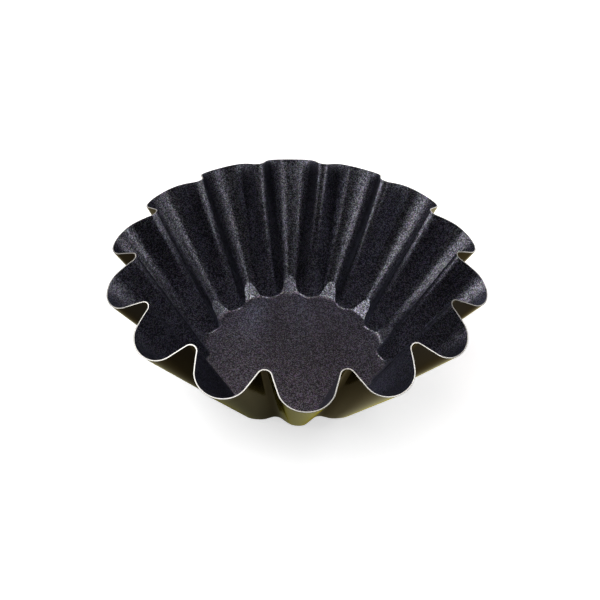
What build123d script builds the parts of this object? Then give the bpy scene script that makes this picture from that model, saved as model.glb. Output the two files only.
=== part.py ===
"""Fluted, flared brioche mould: one pressed steel sheet with a coat on either face.

Millimetres, +Z up. The origin is the centre of the underside, and the first lobe points along -Y.
The sizes of the pressing are taken at the middle of the sheet.
"""
import os
from math import acos, atan2, cos, degrees, hypot, radians, sin, sqrt, tan

from build123d import *

os.makedirs("parts", exist_ok=True)

# Sheet and coats
steel_thickness = 0.5
lining_thickness = 0.1
lacquer_thickness = 0.1

# Flutes: wide lobes that point outwards, with a narrow ridge between each two
flutes = 14
first_lobe_angle = -90.0

# Rim: the lobe tips reach furthest out and lie lowest, the ridge crests stand higher
rim_lobe_radius = 100.0
rim_lobe_height = 64.35
rim_flute_depth = 15.95

# Foot: where the lines of the lobes and ridges would meet the base
foot_lobe_radius = 54.2
foot_flute_depth = 5.9

# Rounds of the lobes and ridges in plan, as shares of the chord between two ridge crests
foot_lobe_share = 0.285
foot_ridge_share = 0.27
rim_lobe_share = 0.386
rim_ridge_share = 0.102

# Bend from the flat base up to the lobes, ended by a web that is a little less steep than they are
bend_radius = 3.6
web_height = 7.2
web_slope_share = 0.785

# Distance that cutting forms run past what they cut
overrun = 5.0

# Levels and plan sizes that follow from those above
pitch = 360 / flutes
foot_height = lacquer_thickness + steel_thickness / 2
rim_ridge_radius = rim_lobe_radius - rim_flute_depth
foot_ridge_radius = foot_lobe_radius - foot_flute_depth
foot_chord = 2 * foot_ridge_radius * sin(radians(pitch) / 2)
rim_chord = 2 * rim_ridge_radius * sin(radians(pitch) / 2)

# A round blank gives every part of the wall the same slant length, measured from the foot of the wall
slant_centre = (foot_lobe_radius + foot_ridge_radius) / 2
slant_length = hypot(rim_lobe_radius - slant_centre, rim_lobe_height - foot_height)
rim_ridge_height = foot_height + sqrt(slant_length**2 - (rim_ridge_radius - slant_centre) ** 2)
head_height = foot_height + slant_length + overrun

# Slopes from the table up, in radians
lobe_slope = atan2(rim_lobe_height - foot_height, rim_lobe_radius - foot_lobe_radius)
ridge_slope = atan2(rim_ridge_height - foot_height, rim_ridge_radius - foot_ridge_radius)
web_slope = web_slope_share * lobe_slope

# The web meets the lobes at its own height, and the flat base ends where the bend starts
web_corner = foot_lobe_radius + web_height / tan(lobe_slope) - web_height / tan(web_slope)
base_radius = web_corner - bend_radius * tan(web_slope / 2)


def flute_sizes(height, skin):
    """Lobe tip, ridge crest and their rounds at one height, on the skin that far off the sheet's middle."""
    rise = height - foot_height
    climb = rise / (rim_ridge_height - foot_height)
    lobe_skin = skin / sin(lobe_slope)
    ridge_skin = skin / sin(ridge_slope)
    lobe_round = (1 - climb) * foot_lobe_share * foot_chord + climb * rim_lobe_share * rim_chord
    ridge_round = (1 - climb) * foot_ridge_share * foot_chord + climb * rim_ridge_share * rim_chord
    lobe_tip = foot_lobe_radius + rise / tan(lobe_slope) + lobe_skin
    ridge_crest = foot_ridge_radius + rise / tan(ridge_slope) + ridge_skin
    return lobe_tip, ridge_crest, lobe_round + lobe_skin, ridge_round - ridge_skin


def flute_outline(height, skin):
    """Closed plan of the wall: lobe arcs and ridge arcs, joined by straight flanks that touch both."""
    lobe_tip, ridge_crest, lobe_round, ridge_round = flute_sizes(height, skin)
    lobe_reach = lobe_tip - lobe_round
    ridge_reach = ridge_crest + ridge_round
    across = ridge_reach * cos(radians(pitch) / 2) - lobe_reach
    along = ridge_reach * sin(radians(pitch) / 2)
    swing = degrees(atan2(along, across) - acos((lobe_round + ridge_round) / hypot(across, along)))
    lobes = []
    ridges = []
    for flute in range(flutes):
        axis = first_lobe_angle + flute * pitch
        lobe_centre = Vector(lobe_reach, 0).rotate(Axis.Z, axis)
        ridge_centre = Vector(ridge_reach, 0).rotate(Axis.Z, axis + pitch / 2)
        lobes.append(CenterArc(lobe_centre, lobe_round, axis - swing, 2 * swing))
        ridges.append(CenterArc(ridge_centre, ridge_round, axis + swing + 180, pitch - 2 * swing))
    for flute in range(flutes):
        Line(lobes[flute] @ 1, ridges[flute] @ 0)
        Line(ridges[flute] @ 1, lobes[(flute + 1) % flutes] @ 0)


def bowl_outline(skin):
    """Half section of the round bowl that the flutes stand in: flat base, bend and web, open at the top."""
    base_height = foot_height - skin
    bend = CenterArc((base_radius, foot_height + bend_radius), bend_radius + skin, -90, degrees(web_slope))
    web = PolarLine(bend @ 1, head_height / sin(web_slope), degrees(web_slope))
    Polyline(web @ 1, (0, (web @ 1).Y), (0, base_height), bend @ 0)


def pressing_form(skin):
    """Solid inside one skin of the sheet: ruled flutes that stand in the bowl."""
    with BuildPart() as form:
        for height in (-overrun, head_height):
            with BuildSketch(Plane.XY.offset(height)):
                with BuildLine():
                    flute_outline(height, skin)
                make_face()
        loft(ruled=True)
        with BuildSketch(Plane.XZ):
            with BuildLine():
                bowl_outline(skin)
            make_face()
        revolve(axis=Axis.Z, mode=Mode.INTERSECT)
    return form.part


# What lies within the slant length is kept, which leaves a cut edge square to the sheet all round
rim_foot = (slant_centre + slant_length, foot_height)
rim_top = (slant_centre, foot_height + slant_length)
with BuildSketch(Plane.XZ) as kept_section:
    with BuildLine():
        CenterArc((slant_centre, foot_height), slant_length, 0, 90)
        Polyline(rim_top, (0, rim_top[1]), (0, -overrun), (rim_foot[0], -overrun), rim_foot)
    make_face()

# The four skins of the coated sheet, from the outside in
steel_skin = steel_thickness / 2
lacquer_outside = pressing_form(steel_skin + lacquer_thickness)
steel_outside = pressing_form(steel_skin)
steel_inside = pressing_form(-steel_skin)
lining_inside = pressing_form(-steel_skin - lining_thickness)

# Steel shell: the pressing itself, bare at its cut edge
with BuildPart() as steel_shell:
    add(steel_outside)
    add(steel_inside, mode=Mode.SUBTRACT)
    revolve(kept_section.sketch, axis=Axis.Z, mode=Mode.INTERSECT)
steel_shell.part.label = "steel_shell"

# Non-stick lining: the coat on the whole inside
with BuildPart() as nonstick_lining:
    add(steel_inside)
    add(lining_inside, mode=Mode.SUBTRACT)
    revolve(kept_section.sketch, axis=Axis.Z, mode=Mode.INTERSECT)
nonstick_lining.part.label = "nonstick_lining"

# Outer lacquer: the coat on the whole outside, which the mould stands on
with BuildPart() as outer_lacquer:
    add(lacquer_outside)
    add(steel_outside, mode=Mode.SUBTRACT)
    revolve(kept_section.sketch, axis=Axis.Z, mode=Mode.INTERSECT)
outer_lacquer.part.label = "outer_lacquer"

for piece in (steel_shell, nonstick_lining, outer_lacquer):
    export_step(piece.part, f"parts/{piece.part.label}.step")
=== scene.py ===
"""Large fluted brioche mould: one pressed steel sheet, sprayed black inside and lacquered bronze outside.

The scene is in metres with +Z up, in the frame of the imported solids. Sizes of the mould are written in
millimetres, as a press shop would, and mm takes them to metres.
"""
from math import acos, asin, atan2, cos, hypot, pi, radians, sin, sqrt, tan

import bpy
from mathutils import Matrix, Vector


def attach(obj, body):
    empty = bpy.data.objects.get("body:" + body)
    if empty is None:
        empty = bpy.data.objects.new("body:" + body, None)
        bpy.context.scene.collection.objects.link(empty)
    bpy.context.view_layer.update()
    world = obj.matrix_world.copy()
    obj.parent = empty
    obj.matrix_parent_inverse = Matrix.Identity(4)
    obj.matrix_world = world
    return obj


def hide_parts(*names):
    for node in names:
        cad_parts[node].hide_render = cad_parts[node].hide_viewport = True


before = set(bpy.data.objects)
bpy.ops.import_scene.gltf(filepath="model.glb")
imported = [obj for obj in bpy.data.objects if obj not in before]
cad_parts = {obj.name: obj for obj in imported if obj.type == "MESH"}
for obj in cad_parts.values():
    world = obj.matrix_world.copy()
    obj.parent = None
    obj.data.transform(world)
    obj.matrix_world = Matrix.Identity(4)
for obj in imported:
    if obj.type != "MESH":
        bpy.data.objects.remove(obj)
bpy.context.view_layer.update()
mm = 0.001


# The camera stands in front of the mould, a little to its left, and looks down into it by 43 degrees.
# It is rolled by about two degrees, and a 62 mm lens fills two thirds of the picture's width.
bpy.ops.object.select_all(action="DESELECT")
bpy.ops.object.camera_add(
    location=Vector((-31.08, -413.40, 423.91)) * mm,
    rotation=(radians(47.324), radians(-2.026), radians(-2.740)),
)
camera = bpy.context.object
camera.name = "camera"
camera.data.sensor_width = 36
camera.data.lens = 62.31
camera.data.clip_start = 10 * mm
bpy.context.scene.camera = camera


# Pressed steel sheet: a round blank of 0.5 mm cold-rolled steel, drawn in one stroke between a fluted punch
# and die. Each lobe leans out further than the ridge beside it, so the trimmed rim rises to every ridge.
# The sheet's middle is modelled once, as half a flute, and both coats are laid on it below. The rounds of
# lobes and ridges are shares of the chord between two ridge crests.
sheet_thickness = 0.5
lacquer_thickness = 0.1
lining_thickness = 0.1

flutes = 14
pitch = 2 * pi / flutes
rim_lobe_radius = 100.0
rim_lobe_height = 64.35
rim_flute_depth = 15.95
foot_lobe_radius = 54.2
foot_flute_depth = 5.9
foot_lobe_share, foot_ridge_share = 0.285, 0.27
rim_lobe_share, rim_ridge_share = 0.386, 0.102
foot_height = lacquer_thickness + sheet_thickness / 2
rim_ridge_radius = rim_lobe_radius - rim_flute_depth
foot_ridge_radius = foot_lobe_radius - foot_flute_depth
rim_chord = 2 * rim_ridge_radius * sin(pitch / 2)
foot_chord = 2 * foot_ridge_radius * sin(pitch / 2)

slant_centre = (foot_lobe_radius + foot_ridge_radius) / 2
slant_length = hypot(rim_lobe_radius - slant_centre, rim_lobe_height - foot_height)
rim_ridge_height = foot_height + sqrt(slant_length**2 - (rim_ridge_radius - slant_centre) ** 2)
lobe_slope = atan2(rim_lobe_height - foot_height, rim_lobe_radius - foot_lobe_radius)
ridge_slope = atan2(rim_ridge_height - foot_height, rim_ridge_radius - foot_ridge_radius)

bend_radius = 3.6
web_height = 7.2
web_slope_share = 0.785
web_slope = web_slope_share * lobe_slope
web_corner = foot_lobe_radius + web_height / tan(lobe_slope) - web_height / tan(web_slope)
base_radius = web_corner - bend_radius * tan(web_slope / 2)

# Heights between which the straight rulings of the wall are drawn, before they are cut at foot and rim
ruling_overrun = 5.0
ruling_foot = -ruling_overrun
ruling_head = foot_height + slant_length + ruling_overrun

# Faces across the lobe, flank and ridge of half a flute, and up the bowl, the foot crease and the wall
lobe_faces, flank_faces, ridge_faces = 14, 5, 10
crease_faces, wall_faces = 6, 14
bowl_shares = (
    0, 0.3, 0.6, 0.78, 0.84, 0.855, 0.865, 0.875, 0.885, 0.895,
    0.91, 0.92, 0.93, 0.94, 0.95, 0.96, 0.97, 0.98, 0.99, 1,
)

# Radius of the round at the foot crease, and the least length of it on either side of the crease
crease_round = 2.1
least_blend = 0.3

# Halvings that find where a ruling is cut, far finer than the mesh needs
halvings = 50


def between(start, end, share):
    return start + (end - start) * share


def half_plan(height):
    """Plan of half a flute at one height, from the tip of the lobe to the crest of the ridge."""
    climb = (height - foot_height) / (rim_ridge_height - foot_height)
    lobe_round = between(foot_lobe_share * foot_chord, rim_lobe_share * rim_chord, climb)
    ridge_round = between(foot_ridge_share * foot_chord, rim_ridge_share * rim_chord, climb)
    lobe_reach = foot_lobe_radius + (height - foot_height) / tan(lobe_slope) - lobe_round
    ridge_reach = foot_ridge_radius + (height - foot_height) / tan(ridge_slope) + ridge_round
    ridge_x, ridge_y = ridge_reach * cos(pitch / 2), ridge_reach * sin(pitch / 2)
    across = ridge_x - lobe_reach
    swing = atan2(ridge_y, across) - acos((lobe_round + ridge_round) / hypot(across, ridge_y))
    plan = []
    for step in range(lobe_faces):
        turn = swing * step / lobe_faces
        plan.append(Vector((lobe_reach + lobe_round * cos(turn), lobe_round * sin(turn), height)))
    lobe_end = Vector((lobe_reach + lobe_round * cos(swing), lobe_round * sin(swing), height))
    ridge_end = Vector((ridge_x - ridge_round * cos(swing), ridge_y - ridge_round * sin(swing), height))
    for step in range(flank_faces):
        plan.append(lobe_end.lerp(ridge_end, step / flank_faces))
    for step in range(ridge_faces + 1):
        turn = between(swing, pitch / 2, step / ridge_faces)
        plan.append(Vector((ridge_x - ridge_round * cos(turn), ridge_y - ridge_round * sin(turn), height)))
    return plan


def bowl_height(reach):
    """Height of the round bowl that the flutes stand in: flat base, bend, then the web."""
    past = max(reach - base_radius, 0)
    if past < bend_radius * sin(web_slope):
        return foot_height + bend_radius - sqrt(bend_radius**2 - past**2)
    rise = bend_radius * (1 - cos(web_slope)) + (past - bend_radius * sin(web_slope)) * tan(web_slope)
    return foot_height + rise


def bowl_tilt(reach):
    past = max(reach - base_radius, 0)
    return min(asin(min(past / bend_radius, 1)), web_slope)


def crossing(reading):
    """Share of a ruling at which a reading that grows along it passes zero."""
    low, high = 0.0, 1.0
    for halving in range(halvings):
        middle = (low + high) / 2
        low, high = (middle, high) if reading(middle) < 0 else (low, middle)
    return low


def sheet_line(start, end):
    """One line up the sheet, from the middle of the base to the rim, along the ruling from start to end."""
    def past_rim(share):
        point = start.lerp(end, share)
        return hypot(hypot(point.x, point.y) - slant_centre, point.z - foot_height) - slant_length

    def past_bowl(share):
        point = start.lerp(end, share)
        return point.z - bowl_height(hypot(point.x, point.y))

    foot = start.lerp(end, crossing(past_bowl))
    rim = start.lerp(end, crossing(past_rim))
    reach = hypot(foot.x, foot.y)
    outward = Vector((foot.x / reach, foot.y / reach, 0))
    up_wall = (rim - foot).normalized()
    tilt = bowl_tilt(reach)
    up_bowl = outward * cos(tilt) + Vector((0, 0, sin(tilt)))
    blend = max(crease_round * tan(up_bowl.angle(up_wall) / 2), least_blend)
    bowl_end = reach - blend * cos(tilt)
    line = []
    for share in bowl_shares:
        line.append(outward * (bowl_end * share) + Vector((0, 0, bowl_height(bowl_end * share))))
    wall_start = foot + up_wall * blend
    for step in range(1, crease_faces):
        share = step / crease_faces
        line.append(line[len(bowl_shares) - 1].lerp(foot, share).lerp(foot.lerp(wall_start, share), share))
    for step in range(wall_faces + 1):
        line.append(wall_start.lerp(rim, step / wall_faces))
    return line


# A flat grid gets a line of the sheet for each of its columns, with the lobe turned to face -Y
lines = [sheet_line(start, end) for start, end in zip(half_plan(ruling_foot), half_plan(ruling_head))]
columns, rows = len(lines) - 1, len(lines[0]) - 1
bpy.ops.mesh.primitive_grid_add(x_subdivisions=columns, y_subdivisions=rows, size=2)
sheet = bpy.context.object
sheet.name = "sheet_middle"
for vertex in sheet.data.vertices:
    column = round((vertex.co.x + 1) / 2 * columns)
    row = round((vertex.co.y + 1) / 2 * rows)
    point = lines[column][row]
    vertex.co = Vector((point.y, -point.x, point.z)) * mm

# The half flute is mirrored and the whole one is spun round the centre, then all seams are merged
mirror = sheet.modifiers.new("other_half", "MIRROR")
mirror.use_axis = (True, False, False)
mirror.merge_threshold = 0.002 * mm
bpy.ops.object.modifier_apply(modifier=mirror.name)
bpy.ops.object.mode_set(mode="EDIT")
bpy.ops.mesh.select_all(action="SELECT")
bpy.ops.mesh.spin(
    steps=flutes - 1, dupli=True, angle=pitch * (flutes - 1), center=(0, 0, 0), axis=(0, 0, 1)
)
bpy.ops.mesh.select_all(action="SELECT")
bpy.ops.mesh.remove_doubles(threshold=0.005 * mm)
bpy.ops.mesh.normals_make_consistent(inside=False)
bpy.ops.object.mode_set(mode="OBJECT")
if sum(face.normal.z * face.area for face in sheet.data.polygons) > 0:
    sheet.data.flip_normals()


def coated_layer(name, thickness, level):
    """A copy of the sheet, as thick as that, whose middle lies that far outside the middle of the steel."""
    bpy.ops.object.select_all(action="DESELECT")
    layer = sheet.copy()
    layer.data = sheet.data.copy()
    layer.name = layer.data.name = name
    bpy.context.collection.objects.link(layer)
    bpy.context.view_layer.objects.active = layer
    layer.select_set(True)
    wall = layer.modifiers.new("wall", "SOLIDIFY")
    wall.thickness = thickness * mm
    wall.offset = 2 * level / thickness
    wall.use_even_offset = True
    wall.use_quality_normals = True
    bpy.ops.object.modifier_apply(modifier=wall.name)
    return layer


def shade_sheet(layer):
    bpy.ops.object.select_all(action="DESELECT")
    bpy.context.view_layer.objects.active = layer
    layer.select_set(True)
    bpy.ops.object.shade_smooth_by_angle(angle=radians(40), keep_sharp_edges=False)


def linear(colour):
    """A hex colour as it shows on a screen, turned to the linear light that shaders work in."""
    shown = [int(colour[place:place + 2], 16) / 255 for place in (1, 3, 5)]
    light = [c / 12.92 if c <= 0.04045 else ((c + 0.055) / 1.055) ** 2.4 for c in shown]
    return (*light, 1)


def new_material(name):
    """A material with its node tree and the shader that it comes with."""
    material = bpy.data.materials.new(name)
    material.use_nodes = True
    return material, material.node_tree, material.node_tree.nodes["Principled BSDF"]


def add_node(tree, kind, links=(), **settings):
    """Adds a node. A setting is a property or the name of an input, and links are (output, input name)."""
    node = tree.nodes.new(kind)
    for name, value in settings.items():
        if hasattr(node, name):
            setattr(node, name, value)
        else:
            node.inputs[name.replace("_", " ")].default_value = value
    for output, name in links:
        tree.links.new(output, node.inputs[name])
    return node


pressed_sheet = coated_layer("pressed_sheet", sheet_thickness, 0)
burr_round = 0.08
burr = pressed_sheet.modifiers.new("burr", "BEVEL")
burr.width = burr_round * mm
burr.segments = 2
burr.limit_method = "ANGLE"
burr.angle_limit = radians(60)
bpy.ops.object.modifier_apply(modifier=burr.name)
shade_sheet(pressed_sheet)

# Cold-rolled steel, sheared and then rubbed bright: only its cut edge shows, as a thin pale line
steel, steel_tree, steel_shader = new_material("sheared_cold_rolled_steel")
place = add_node(steel_tree, "ShaderNodeTexCoord")
shear_marks = add_node(
    steel_tree, "ShaderNodeTexNoise", [(place.outputs["Object"], "Vector")],
    Scale=1 / (0.8 * mm), Detail=3.0, Roughness=0.6,
)
shear_tone = add_node(
    steel_tree, "ShaderNodeMix", [(shear_marks.outputs["Fac"], "Factor")], data_type="RGBA",
)
shear_tone.inputs[6].default_value = linear("#C4C1B8")
shear_tone.inputs[7].default_value = linear("#EAE8E3")
steel_tree.links.new(shear_tone.outputs[2], steel_shader.inputs["Base Color"])
steel_shader.inputs["Metallic"].default_value = 1
steel_shader.inputs["Roughness"].default_value = 0.38
pressed_sheet.data.materials.clear()
pressed_sheet.data.materials.append(steel)
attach(pressed_sheet, "root")
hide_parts("steel_shell")


# Non-stick lining: a charcoal fluoropolymer enamel, sprayed on the blank's upper face and cured before it is
# pressed. It dries to a satin skin, full of fine flakes of mica that lie in it at slightly different angles.
sprayed_lining = coated_layer(
    "sprayed_lining", lining_thickness, -(sheet_thickness + lining_thickness) / 2
)
shade_sheet(sprayed_lining)

# Sprayed enamel with mica: near black, and satin enough to glint on every fold. The flakes break each
# highlight up into bright and dull specks. Real ones are about 0.2 mm across and are drawn twice as large.
lining, lining_tree, lining_shader = new_material("sprayed_nonstick_enamel")
flake_size = 0.4
flake_lean = 0.075
place = add_node(lining_tree, "ShaderNodeTexCoord")
flakes = add_node(
    lining_tree, "ShaderNodeTexVoronoi", [(place.outputs["Object"], "Vector")],
    Scale=1 / (flake_size * mm),
)
flake_pick = add_node(lining_tree, "ShaderNodeSeparateColor", [(flakes.outputs["Color"], "Color")])
flake_tones = add_node(lining_tree, "ShaderNodeValToRGB", [(flake_pick.outputs["Red"], "Fac")])
ramp = flake_tones.color_ramp
ramp.interpolation = "CONSTANT"
ramp.elements[0].color = linear("#030203")
ramp.elements[1].position = 0.7
ramp.elements[1].color = linear("#929CA8")
for share, tone in ((0.25, "#080608"), (0.5, "#66646E")):
    ramp.elements.new(share).color = linear(tone)
bright_flakes = add_node(
    lining_tree, "ShaderNodeMath", [(flake_pick.outputs["Red"], 0)], operation="GREATER_THAN",
)
bright_flakes.inputs[1].default_value = 0.5
lean = add_node(
    lining_tree, "ShaderNodeVectorMath", [(flakes.outputs["Color"], 0)], operation="SUBTRACT",
)
lean.inputs[1].default_value = (0.5, 0.5, 0.5)
lean_share = add_node(
    lining_tree, "ShaderNodeVectorMath", [(lean.outputs["Vector"], 0)],
    operation="SCALE", Scale=flake_lean,
)
face = add_node(lining_tree, "ShaderNodeNewGeometry")
flake_face = add_node(
    lining_tree, "ShaderNodeVectorMath",
    [(face.outputs["Normal"], 0), (lean_share.outputs["Vector"], 1)], operation="ADD",
)
flake_way = add_node(
    lining_tree, "ShaderNodeVectorMath", [(flake_face.outputs["Vector"], 0)], operation="NORMALIZE",
)
flake_hues = add_node(
    lining_tree, "ShaderNodeMix", [(flake_tones.outputs["Color"], 6), (flakes.outputs["Color"], 7)],
    data_type="RGBA", blend_type="MULTIPLY", Factor=0.4,
)
lining_tree.links.new(flake_hues.outputs[2], lining_shader.inputs["Base Color"])
lining_tree.links.new(bright_flakes.outputs["Value"], lining_shader.inputs["Metallic"])
lining_tree.links.new(flake_way.outputs["Vector"], lining_shader.inputs["Normal"])
lining_shader.inputs["Specular Tint"].default_value = linear("#E6F0FF")
lining_shader.inputs["Roughness"].default_value = 0.29
lining_shader.inputs["IOR"].default_value = 1.5
sprayed_lining.data.materials.clear()
sprayed_lining.data.materials.append(lining)
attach(sprayed_lining, "root")
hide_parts("nonstick_lining")


# Outer lacquer: a bronze-tinted clear lacquer, rolled on the blank's lower face and baked before pressing.
# It follows every fold down to the base, and the mould stands on it.
bronze_skin = coated_layer(
    "bronze_skin", lacquer_thickness, (sheet_thickness + lacquer_thickness) / 2
)
shade_sheet(bronze_skin)

# Rolled lacquer over steel: almost black where it is looked at squarely, and an olive gleam at a flat
# angle, where its tint takes out more of the blue. The straight grain of the rolling mill shows faintly.
lacquer, lacquer_tree, lacquer_shader = new_material("bronze_tinted_lacquer")
place = add_node(lacquer_tree, "ShaderNodeTexCoord")
mill_way = add_node(
    lacquer_tree, "ShaderNodeMapping", [(place.outputs["Object"], "Vector")],
    Scale=(1 / (14 * mm), 1 / (0.5 * mm), 1 / (14 * mm)),
)
mill_grain = add_node(
    lacquer_tree, "ShaderNodeTexNoise", [(mill_way.outputs["Vector"], "Vector")],
    Scale=1.0, Detail=3.0, Roughness=0.6,
)
varnish_depth = add_node(
    lacquer_tree, "ShaderNodeTexNoise", [(place.outputs["Object"], "Vector")],
    Scale=1 / (22 * mm), Detail=2.0,
)
tint = add_node(
    lacquer_tree, "ShaderNodeMix", [(varnish_depth.outputs["Fac"], "Factor")], data_type="RGBA",
)
tint.inputs[6].default_value = linear("#24211F")
tint.inputs[7].default_value = linear("#1B1918")
sheen = add_node(
    lacquer_tree, "ShaderNodeMapRange", [(mill_grain.outputs["Fac"], "Value")],
    To_Min=0.1, To_Max=0.18,
)
mill_relief = add_node(
    lacquer_tree, "ShaderNodeBump", [(mill_grain.outputs["Fac"], "Height")],
    Strength=0.5, Distance=0.01 * mm,
)
lacquer_tree.links.new(tint.outputs[2], lacquer_shader.inputs["Base Color"])
lacquer_tree.links.new(sheen.outputs["Result"], lacquer_shader.inputs["Roughness"])
lacquer_tree.links.new(mill_relief.outputs["Normal"], lacquer_shader.inputs["Normal"])
lacquer_shader.inputs["Metallic"].default_value = 1
lacquer_shader.inputs["Specular Tint"].default_value = linear("#C8C3BA")
lacquer_shader.inputs["Coat Weight"].default_value = 1
lacquer_shader.inputs["Coat IOR"].default_value = 1
lacquer_shader.inputs["Coat Tint"].default_value = (0.985, 0.98, 0.905, 1)
bronze_skin.data.materials.clear()
bronze_skin.data.materials.append(lacquer)
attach(bronze_skin, "root")
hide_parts("outer_lacquer")

bpy.data.objects.remove(sheet)


# Photographer's table: matt white paper, laid flat and turned up all round, well outside the picture.
# A glow of its own lifts it to white for the camera, and the mould's soft shadow stays on it. Mirrors see a
# glow that rises from left to right under the mould. This is a painted reflection, so the lacquer gleams
# more on its right.
paper_radius = 3.0
paper_edge = 0.55
bpy.ops.object.select_all(action="DESELECT")
bpy.ops.mesh.primitive_circle_add(vertices=96, radius=paper_radius, fill_type="NGON", location=(0, 0, 0))
table = bpy.context.object
table.name = "paper_sweep"
bpy.ops.object.mode_set(mode="EDIT")
bpy.ops.mesh.select_all(action="SELECT")
bpy.ops.mesh.region_to_loop()
bpy.ops.mesh.extrude_edges_move(TRANSFORM_OT_translate={"value": (0, 0, paper_edge)})
bpy.ops.object.mode_set(mode="OBJECT")
paper, paper_tree, paper_shader = new_material("matt_white_paper")
paper_shader.inputs["Base Color"].default_value = linear("#E4E4E4")
paper_shader.inputs["Roughness"].default_value = 0.9
paper_shader.inputs["Specular IOR Level"].default_value = 0
picture_paper = add_node(paper_tree, "ShaderNodeBsdfDiffuse")
picture_paper.inputs["Color"].default_value = (0.9, 0.9, 0.9, 1)
picture_glow = add_node(paper_tree, "ShaderNodeEmission")
picture_look = add_node(paper_tree, "ShaderNodeAddShader")
paper_tree.links.new(picture_paper.outputs["BSDF"], picture_look.inputs[0])
paper_tree.links.new(picture_glow.outputs["Emission"], picture_look.inputs[1])
rays = add_node(paper_tree, "ShaderNodeLightPath")
mirrored = add_node(
    paper_tree, "ShaderNodeMath",
    [(rays.outputs["Is Glossy Ray"], 0), (rays.outputs["Is Transmission Ray"], 1)], operation="MAXIMUM",
)
shown = add_node(
    paper_tree, "ShaderNodeMath",
    [(rays.outputs["Is Camera Ray"], 0), (mirrored.outputs["Value"], 1)], operation="MAXIMUM",
)
place = add_node(paper_tree, "ShaderNodeTexCoord")
across = add_node(paper_tree, "ShaderNodeSeparateXYZ", [(place.outputs["Object"], "Vector")])
# Painted reflection: for mirrors, the paper under the mould glows from nothing on the left to 0.8 on the
# right
painted_reflection_glow = add_node(
    paper_tree, "ShaderNodeMapRange", [(across.outputs["X"], "Value")],
    From_Min=-25 * mm, From_Max=40 * mm, To_Min=0.0, To_Max=0.8,
)
near_glow = add_node(
    paper_tree, "ShaderNodeMapRange",
    [(rays.outputs["Is Camera Ray"], "Value"), (painted_reflection_glow.outputs["Result"], "To Min")],
    To_Max=0.62,
)
reach = add_node(
    paper_tree, "ShaderNodeVectorMath", [(place.outputs["Object"], 0)], operation="LENGTH",
)
far_glow = add_node(
    paper_tree, "ShaderNodeMapRange", [(reach.outputs["Value"], "Value")],
    From_Min=600 * mm, From_Max=1200 * mm, To_Max=0.38,
)
glow = add_node(
    paper_tree, "ShaderNodeMath", [(near_glow.outputs["Result"], 0), (far_glow.outputs["Result"], 1)],
    operation="ADD",
)
paper_tree.links.new(glow.outputs["Value"], picture_glow.inputs["Strength"])
sides = add_node(paper_tree, "ShaderNodeMixShader", [(shown.outputs["Value"], "Fac")])
paper_tree.links.new(paper_shader.outputs["BSDF"], sides.inputs[1])
paper_tree.links.new(picture_look.outputs["Shader"], sides.inputs[2])
paper_tree.links.new(sides.outputs["Shader"], paper_tree.nodes["Material Output"].inputs["Surface"])
table.data.materials.append(paper)


# Lamps: a ring of softboxes aimed at the middle of the mould, strongest high on the left, with warmer ones
# behind the mould
lamp_distance = 1.3
lamp_aim = Vector((0, 0, 0.04))


def softbox(name, azimuth, elevation, width, height, watts, warmth=0.0):
    """Azimuth 0 is the camera's side and 90 the right. Warmth takes green and blue out of white."""
    turn, lift = radians(azimuth), radians(elevation)
    way = Vector((sin(turn) * cos(lift), -cos(turn) * cos(lift), sin(lift)))
    bpy.ops.object.light_add(type="AREA", location=way * lamp_distance + lamp_aim)
    lamp = bpy.context.object
    lamp.name = name
    lamp.rotation_euler = way.to_track_quat("Z", "Y").to_euler()
    lamp.data.shape = "RECTANGLE"
    lamp.data.size = width
    lamp.data.size_y = height
    lamp.data.energy = watts
    lamp.data.color = (1, 1 - 0.9 * warmth, 1 - warmth)


softbox("low_left_softbox", -98, 8, 1.0, 0.55, 3.4)
softbox("left_softbox", -70, 25, 0.7, 0.6, 1.65)
softbox("high_left_softbox", -112, 52, 1.2, 0.8, 8.2)
softbox("back_softbox", -155, 34, 0.8, 0.7, 0.8, 0.16)
softbox("back_overhead_softbox", 152, 70, 0.9, 0.8, 2.3, 0.16)
softbox("front_left_softbox", -45, 48, 0.6, 0.5, 1.2)
softbox("front_overhead_softbox", -30, 70, 0.8, 0.6, 3.2)
softbox("front_softbox", 10, 51, 0.5, 0.3, 0.4)
softbox("high_right_softbox", 80, 48, 0.7, 0.6, 4.0)
softbox("front_right_softbox", 42, 22, 0.6, 0.6, 1.1)
softbox("low_right_softbox", 98, 15, 0.8, 0.4, 0.55)


# The room beyond the table is all but dark
world = bpy.data.worlds.new("studio")
bpy.context.scene.world = world
world.use_nodes = True
air = world.node_tree.nodes["Background"]
air.inputs["Color"].default_value = (1, 1, 1, 1)
air.inputs["Strength"].default_value = 0.025

bpy.context.scene.view_settings.view_transform = "Standard"
